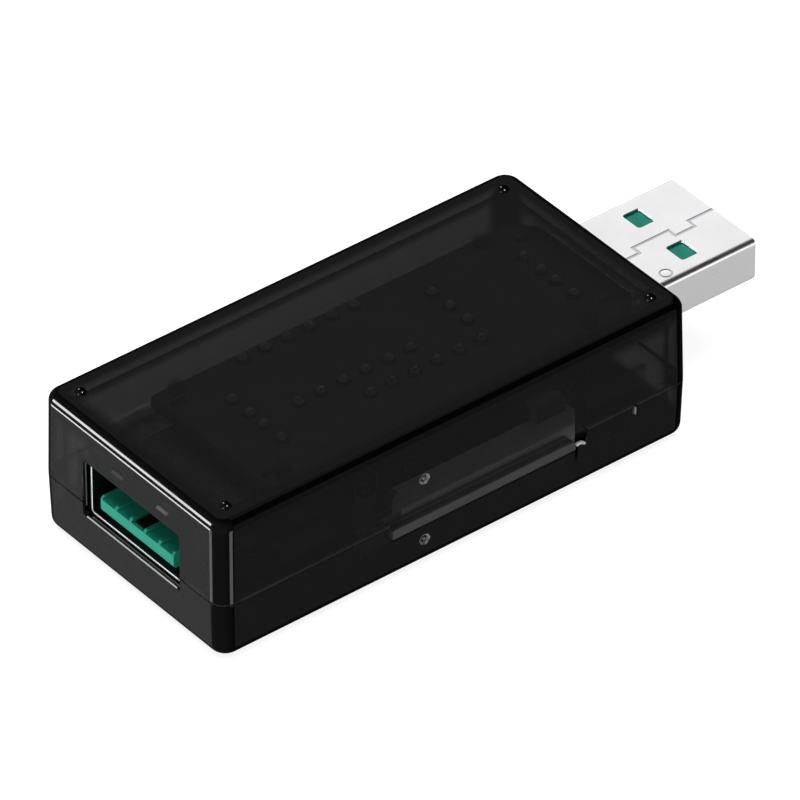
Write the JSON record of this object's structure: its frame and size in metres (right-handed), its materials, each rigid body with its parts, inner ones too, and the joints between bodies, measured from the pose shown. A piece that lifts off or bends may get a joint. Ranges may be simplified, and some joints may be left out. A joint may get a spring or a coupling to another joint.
{
  "type": "usb power meter",
  "caption": "Slim pass-through USB power meter: smoked two-part case, USB-A plug at one end, USB-A port at the other, lever button in one side.",
  "frame": {"origin": "middle of the case's flat front, the face that it lies on", "axes": "+X from the port towards the plug, +Z from the front up to the back, -Y the side with the button"},
  "size_m": [0.066, 0.0258, 0.015],
  "materials": {
    "smoked_polycarbonate": "polished clear smoke-tinted moulding",
    "button_plastic": "fine satin moulding",
    "steel_pin": "drawn",
    "switch_stem": "moulded",
    "black_plastic": "moulded",
    "circuit_board": "solder mask over glass laminate",
    "display_white": "moulded reflector",
    "display_film": "printed film",
    "foam_gasket": "closed-cell foam",
    "chip_ceramic": "fired ceramic",
    "capacitor_case": "moulded",
    "nickel_plated_steel": "bright nickel plate",
    "teal_plastic": "moulded",
    "gilt_contact": "gold flash",
    "copper_contact": "bare copper alloy"
  },
  "bodies": {
    "case": {"back_cover": "smoked_polycarbonate", "front_cover": "smoked_polycarbonate", "button_pin": "steel_pin", "switch_body": "black_plastic", "main_board": "circuit_board", "display_housing": "display_white", "display_film": "display_film", "display_gasket": "foam_gasket", "microcontroller": "black_plastic", "regulator": "black_plastic", "service_header": "black_plastic", "shunt_resistor": "chip_ceramic", "input_capacitor": "capacitor_case", "output_capacitor": "capacitor_case", "chip_1": "chip_ceramic", "chip_2": "chip_ceramic", "chip_3": "chip_ceramic", "chip_4": "chip_ceramic", "chip_5": "chip_ceramic", "plug_shell": "nickel_plated_steel", "plug_insulator": "teal_plastic", "plug_contact_1": "gilt_contact", "plug_contact_2": "gilt_contact", "plug_contact_3": "gilt_contact", "plug_contact_4": "gilt_contact", "port_shell": "nickel_plated_steel", "port_insulator": "teal_plastic", "port_contact_1": "gilt_contact", "port_contact_2": "gilt_contact", "port_contact_3": "gilt_contact", "port_contact_4": "gilt_contact", "port_middle_contact": "copper_contact"},
    "button": {"side_button": "button_plastic"},
    "plunger": {"switch_plunger": "switch_stem"}
  },
  "joints": [
    {"name": "button_hinge", "type": "hinge", "parent": "case", "child": "button", "pos_m": [-0.0087, -0.0106, 0.006], "axis": [0, 0, 1], "range_deg": [0, 1], "stiffness_Nm_per_rad": 1.5},
    {"name": "switch_travel", "type": "slide", "parent": "case", "child": "plunger", "axis": [0, 1, 0], "range_m": [0, 0.0003]}
  ],
  "couplings": [
    {"joint": "switch_travel", "follows": "button_hinge", "m_per_rad": 0.0171}
  ]
}
